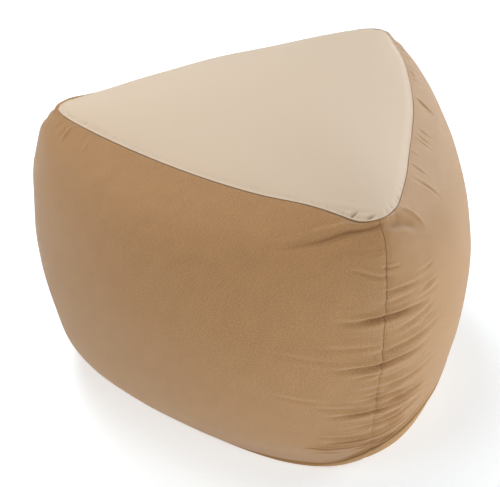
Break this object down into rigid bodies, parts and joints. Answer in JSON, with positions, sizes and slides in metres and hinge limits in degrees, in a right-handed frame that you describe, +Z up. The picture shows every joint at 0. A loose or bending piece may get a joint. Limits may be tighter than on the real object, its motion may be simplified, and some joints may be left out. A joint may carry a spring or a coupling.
{
  "type": "triangular bead cushion",
  "caption": "Triangular bead-filled floor cushion with a pale crowned top bowed along its three sides, darker sewn side panels with soft corner folds, and a flat base.",
  "frame": {"origin": "on the floor under the middle of the cushion, on the flat of the base panel", "axes": "+Z up; -Y towards the front side panel, +Y towards the back corner, +X to the right seen from the front panel"},
  "size_m": [0.6871, 0.6783, 0.489],
  "materials": {
    "top_cloth": "smooth matt stretch cloth, pale beige",
    "side_cloth": "fine brushed knit, tan brown",
    "base_cloth": "plain close-woven cloth, tan brown"
  },
  "bodies": {
    "root": {"filled_body": "top_cloth", "side_panel_front": "side_cloth", "side_panel_right": "side_cloth", "side_panel_back_left": "side_cloth", "base_panel": "base_cloth"}
  },
  "joints": []
}
